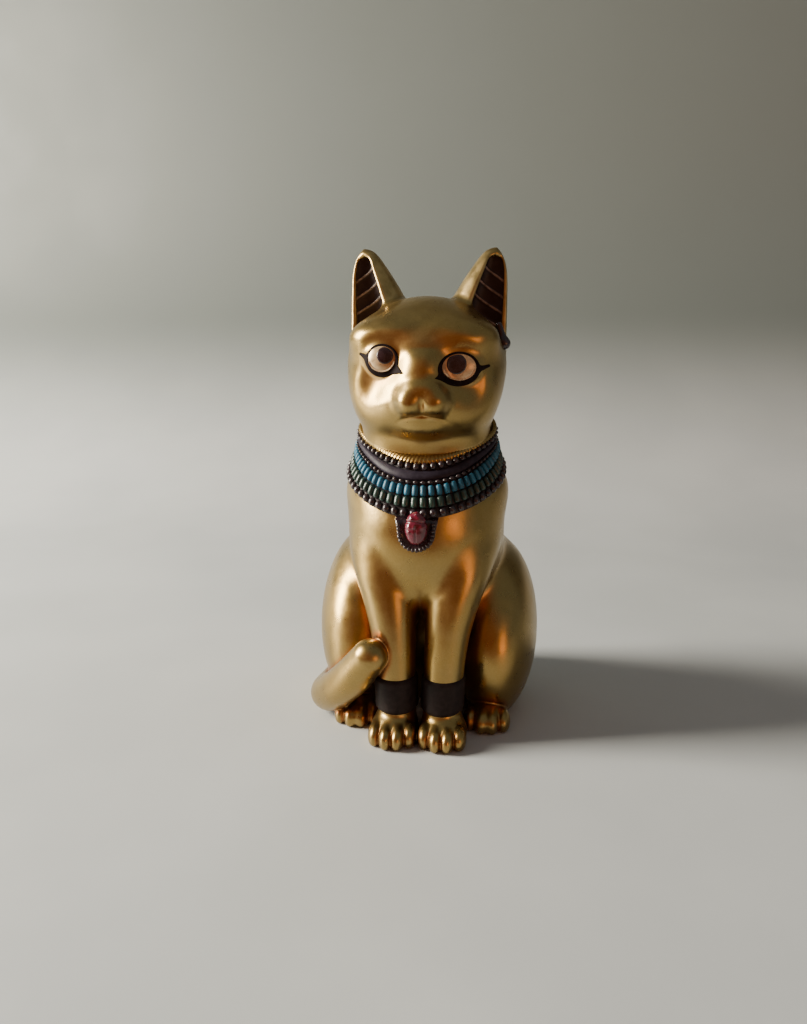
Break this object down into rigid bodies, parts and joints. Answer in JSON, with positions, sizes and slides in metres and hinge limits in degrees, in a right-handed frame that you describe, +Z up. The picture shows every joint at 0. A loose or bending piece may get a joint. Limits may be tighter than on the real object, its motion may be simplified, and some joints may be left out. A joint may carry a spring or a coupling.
{
  "type": "cat figurine",
  "caption": "Small seated cat figurine with upright cupped ears, painted eyes, a curled tail, banded forelegs and a wide bead collar with an oval pendant.",
  "frame": {"origin": "centre of the bounding box's underside, on the surface the cat sits on", "axes": "+Z up through the ears, -Y the way the cat faces, +X the cat's own left side"},
  "size_m": [0.0312, 0.0332, 0.0599],
  "materials": {
    "gold_paint": "satin",
    "dark_brown_paint": "satin",
    "glossy_dark_paint": "gloss",
    "cream_gold_paint": "gloss",
    "navy_enamel": "gloss",
    "black_bead_enamel": "gloss",
    "turquoise_enamel": "gloss",
    "green_enamel": "gloss",
    "red_enamel": "gloss"
  },
  "bodies": {
    "root": {"torso": "gold_paint", "head": "gold_paint", "left_ear": "gold_paint", "right_ear": "gold_paint", "left_ear_lining": "dark_brown_paint", "right_ear_lining": "dark_brown_paint", "ear_stud": "glossy_dark_paint", "left_eye": "cream_gold_paint", "right_eye": "cream_gold_paint", "left_pupil": "glossy_dark_paint", "right_pupil": "glossy_dark_paint", "left_eyeliner": "dark_brown_paint", "right_eyeliner": "dark_brown_paint", "left_foreleg": "gold_paint", "right_foreleg": "gold_paint", "left_cuff": "dark_brown_paint", "right_cuff": "dark_brown_paint", "left_front_paw": "gold_paint", "right_front_paw": "gold_paint", "left_haunch": "gold_paint", "right_haunch": "gold_paint", "left_hind_paw": "gold_paint", "right_hind_paw": "gold_paint", "tail": "gold_paint", "neck_ring": "gold_paint", "upper_bead_row": "black_bead_enamel", "dark_band": "navy_enamel", "small_bead_row": "black_bead_enamel", "turquoise_bead_row": "turquoise_enamel", "green_bead_row": "green_enamel", "outer_bead_row": "black_bead_enamel", "pendant_setting": "glossy_dark_paint", "pendant_gem": "red_enamel"}
  },
  "joints": []
}
